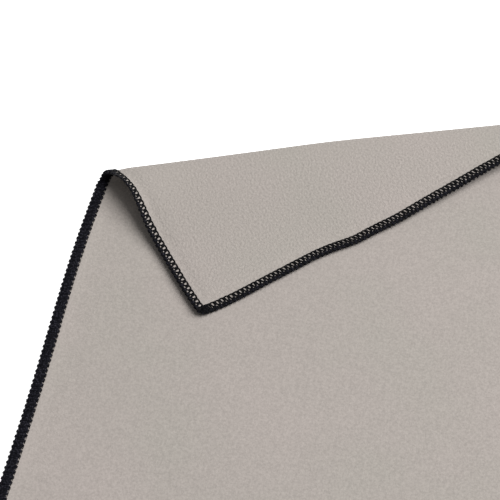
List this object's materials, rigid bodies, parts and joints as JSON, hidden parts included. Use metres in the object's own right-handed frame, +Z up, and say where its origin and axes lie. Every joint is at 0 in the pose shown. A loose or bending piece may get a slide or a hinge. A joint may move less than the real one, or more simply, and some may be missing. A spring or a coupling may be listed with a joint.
{
  "type": "quick dry towel",
  "caption": "Flat microfibre travel towel with a dark overlocked edge, lying with one corner turned over; the turned corner unfolds flat.",
  "frame": {"origin": "middle of the towel's outline, on the surface it lies on", "axes": "+X across the towel's width, +Y along its length, +Z up from the surface; the turned-over corner is at -X +Y"},
  "size_m": [0.4, 0.8, 0.0104],
  "materials": {
    "microfibre_cloth": "matte",
    "overlock_thread": "matte"
  },
  "bodies": {
    "panel": {"cloth_panel": "microfibre_cloth", "left_upper_looper_panel": "overlock_thread", "left_lower_looper_panel": "overlock_thread", "left_needle_thread_panel": "overlock_thread", "top_upper_looper_panel": "overlock_thread", "top_lower_looper_panel": "overlock_thread", "top_needle_thread_panel": "overlock_thread", "bottom_upper_looper": "overlock_thread", "bottom_lower_looper": "overlock_thread", "bottom_needle_thread": "overlock_thread", "right_upper_looper": "overlock_thread", "right_lower_looper": "overlock_thread", "right_needle_thread": "overlock_thread"},
    "crease": {"cloth_crease": "microfibre_cloth", "left_upper_looper_crease": "overlock_thread", "left_lower_looper_crease": "overlock_thread", "left_needle_thread_crease": "overlock_thread", "top_upper_looper_crease": "overlock_thread", "top_lower_looper_crease": "overlock_thread", "top_needle_thread_crease": "overlock_thread"},
    "flap": {"cloth_flap": "microfibre_cloth", "left_upper_looper_flap": "overlock_thread", "left_lower_looper_flap": "overlock_thread", "left_needle_thread_flap": "overlock_thread", "top_upper_looper_flap": "overlock_thread", "top_lower_looper_flap": "overlock_thread", "top_needle_thread_flap": "overlock_thread"}
  },
  "joints": [
    {"name": "crease_turn", "type": "hinge", "parent": "panel", "child": "crease", "pos_m": [-0.08968, 0.33649, 0.00112], "axis": [-0.9317, -0.3633, 0], "range_deg": [0, 90]},
    {"name": "flap_turn", "type": "hinge", "parent": "crease", "child": "flap", "pos_m": [-0.08968, 0.33649, 0.00928], "axis": [-0.9317, -0.3633, 0], "range_deg": [0, 90]}
  ],
  "couplings": [
    {"joint": "flap_turn", "follows": "crease_turn", "ratio": 1}
  ]
}
